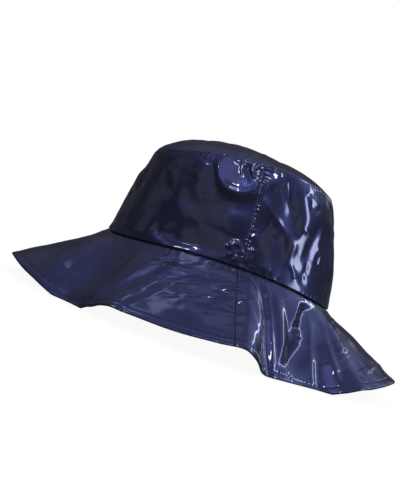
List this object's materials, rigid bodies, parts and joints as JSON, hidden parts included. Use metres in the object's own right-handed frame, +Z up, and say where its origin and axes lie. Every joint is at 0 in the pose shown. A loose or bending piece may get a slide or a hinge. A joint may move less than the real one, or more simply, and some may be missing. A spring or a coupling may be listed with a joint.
{
  "type": "rain hat",
  "caption": "Soft brimmed rain hat in glossy navy coated cloth: domed crown in three panels, wide wavy brim with a stitched hem.",
  "frame": {"origin": "middle of the hat's box in plan, on the surface that it rests on", "axes": "+Z up, -X where the wearer looks, -Y the wearer's left"},
  "size_m": [0.3413, 0.2968, 0.1618],
  "materials": {
    "coated_cloth": "glossy navy vinyl coating on cloth"
  },
  "bodies": {
    "root": {"crown_tip": "coated_cloth", "crown_side_front": "coated_cloth", "crown_side_back": "coated_cloth", "brim_front": "coated_cloth", "brim_back": "coated_cloth"}
  },
  "joints": []
}
